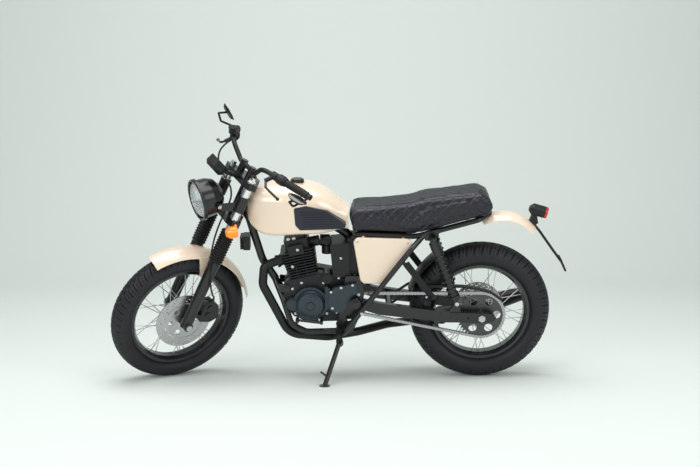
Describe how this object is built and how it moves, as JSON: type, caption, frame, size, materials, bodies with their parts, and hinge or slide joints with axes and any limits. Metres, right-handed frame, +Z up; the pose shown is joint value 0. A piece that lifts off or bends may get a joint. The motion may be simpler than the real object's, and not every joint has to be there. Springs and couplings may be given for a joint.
{
  "type": "scrambler motorcycle",
  "caption": "Scrambler motorcycle on its side stand: steel frame, finned single-cylinder engine, chain drive, wire wheels, quilted seat, round headlight, steering at its left stop.",
  "frame": {"origin": "on the floor under the middle of the whole motorcycle", "axes": "+X towards the front wheel, +Y to the rider's left, the side that it leans to, +Z up"},
  "size_m": [2.0747, 0.7154, 1.2694],
  "materials": {
    "cream_paint": "gloss",
    "black_paint": "satin",
    "black_engine": "satin",
    "cover_grey": "satin",
    "steel": "brushed",
    "chain_steel": "oiled",
    "chrome": "polished",
    "rim_black": "gloss",
    "spoke_steel": "bright",
    "tyre_rubber": "matte",
    "black_rubber": "matte",
    "pad_rubber": "matte",
    "seat_leather": "quilted",
    "black_plastic": "matte",
    "lamp_glass": "clear",
    "amber": "clear amber",
    "red": "clear red"
  },
  "bodies": {
    "frame": {"air_box": "black_plastic", "carburettor": "black_engine", "chain": "chain_steel", "chain_guard": "black_plastic", "crankcase": "black_engine", "cylinder": "black_engine", "cylinder_head": "black_engine", "engine_covers": "cover_grey", "foot_controls": "black_paint", "footpegs": "black_rubber", "frame": "black_paint", "front_sprocket": "chain_steel", "fuel_tank": "cream_paint", "header_pipe": "black_paint", "inner_fender": "black_plastic", "knee_pads": "pad_rubber", "muffler": "black_paint", "plate_bracket": "black_plastic", "rear_axle": "steel", "rear_fender": "cream_paint", "regulator": "black_engine", "seat": "seat_leather", "shock_absorbers": "black_paint", "side_covers": "cream_paint", "swingarm": "black_paint", "tail_lamp": "black_plastic", "tail_lamp_lens": "red", "tank_cap": "black_paint"},
    "steering": {"triple_clamps": "black_paint", "fork_stanchions": "chrome", "fork_sliders": "black_paint", "fork_gaiters": "black_rubber", "front_axle": "steel", "handlebar": "black_paint", "handgrips": "black_rubber", "levers": "black_paint", "bar_controls": "black_plastic", "mirrors": "black_plastic", "headlight_shell": "black_paint", "headlight_lens": "lamp_glass", "headlight_brackets": "black_paint", "gauge": "black_plastic", "front_indicators": "amber", "front_fender": "cream_paint", "front_caliper": "black_paint", "brake_hose": "black_rubber"},
    "front_wheel": {"front_tyre": "tyre_rubber", "front_rim": "rim_black", "front_hub": "spoke_steel", "front_brake_disc": "steel"},
    "rear_wheel": {"rear_tyre": "tyre_rubber", "rear_rim": "rim_black", "rear_hub": "spoke_steel", "rear_brake_disc": "steel", "rear_sprocket": "chain_steel"},
    "side_stand": {"side_stand": "black_paint"}
  },
  "joints": [
    {"name": "steering_turn", "type": "hinge", "parent": "frame", "child": "steering", "pos_m": [0.47241, -0.03966, 0.78022], "axis": [0.4187, -0.1655, -0.8929], "range_deg": [0, 62]},
    {"name": "front_wheel_spin", "type": "hinge", "parent": "steering", "child": "front_wheel", "pos_m": [0.74649, -0.09874, 0.30317], "axis": [-0.4677, 0.8035, -0.3682], "continuous": true},
    {"name": "rear_wheel_spin", "type": "hinge", "parent": "frame", "child": "rear_wheel", "pos_m": [-0.64622, -0.12483, 0.32065], "axis": [0, 0.9833, -0.1822], "continuous": true},
    {"name": "side_stand_fold", "type": "hinge", "parent": "frame", "child": "side_stand", "pos_m": [0.00129, -0.0256, 0.18656], "axis": [0.043, 0.8867, 0.4604], "range_deg": [0, 107]}
  ]
}
